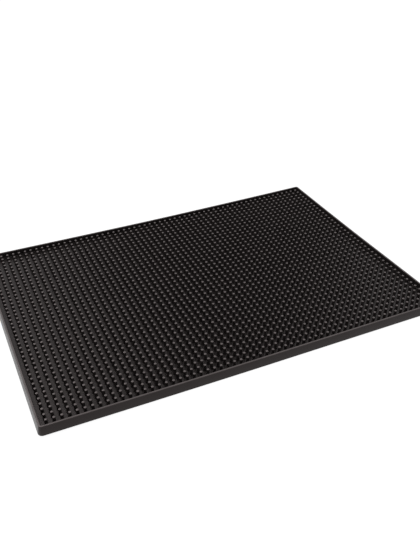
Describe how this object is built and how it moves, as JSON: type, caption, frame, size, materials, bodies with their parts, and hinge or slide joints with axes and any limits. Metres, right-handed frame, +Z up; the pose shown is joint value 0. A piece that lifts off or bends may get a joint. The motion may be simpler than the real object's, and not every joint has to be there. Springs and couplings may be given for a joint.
{
  "type": "rubber bar mat",
  "caption": "Rectangular black rubber bar mat: a shallow tray with a raised rim and a close square grid of short nubs that hold glasses above spills.",
  "frame": {"origin": "underside of the mat, below the middle of its outline", "axes": "+X along the long side, +Y along the short side from front to back, +Z up out of the nub tips"},
  "size_m": [0.4516, 0.3076, 0.01],
  "materials": {
    "sheet_rubber": "matte",
    "rim_rubber": "satin",
    "nub_rubber": "satin"
  },
  "bodies": {
    "root": {"base_sheet": "sheet_rubber", "rim_front": "rim_rubber", "rim_back": "rim_rubber", "rim_left": "rim_rubber", "rim_right": "rim_rubber", "rim_corner_front_left": "rim_rubber", "rim_corner_front_right": "rim_rubber", "rim_corner_back_left": "rim_rubber", "rim_corner_back_right": "rim_rubber", "nub_row_01": "nub_rubber", "nub_row_02": "nub_rubber", "nub_row_03": "nub_rubber", "nub_row_04": "nub_rubber", "nub_row_05": "nub_rubber", "nub_row_06": "nub_rubber", "nub_row_07": "nub_rubber", "nub_row_08": "nub_rubber", "nub_row_09": "nub_rubber", "nub_row_10": "nub_rubber", "nub_row_11": "nub_rubber", "nub_row_12": "nub_rubber", "nub_row_13": "nub_rubber", "nub_row_14": "nub_rubber", "nub_row_15": "nub_rubber", "nub_row_16": "nub_rubber", "nub_row_17": "nub_rubber", "nub_row_18": "nub_rubber", "nub_row_19": "nub_rubber", "nub_row_20": "nub_rubber", "nub_row_21": "nub_rubber", "nub_row_22": "nub_rubber", "nub_row_23": "nub_rubber", "nub_row_24": "nub_rubber", "nub_row_25": "nub_rubber", "nub_row_26": "nub_rubber", "nub_row_27": "nub_rubber", "nub_row_28": "nub_rubber", "nub_row_29": "nub_rubber", "nub_row_30": "nub_rubber", "nub_row_31": "nub_rubber", "nub_row_32": "nub_rubber", "nub_row_33": "nub_rubber", "nub_row_34": "nub_rubber", "nub_row_35": "nub_rubber", "nub_row_36": "nub_rubber", "nub_row_37": "nub_rubber", "nub_row_38": "nub_rubber", "nub_row_39": "nub_rubber", "nub_row_40": "nub_rubber", "nub_row_41": "nub_rubber"}
  },
  "joints": []
}
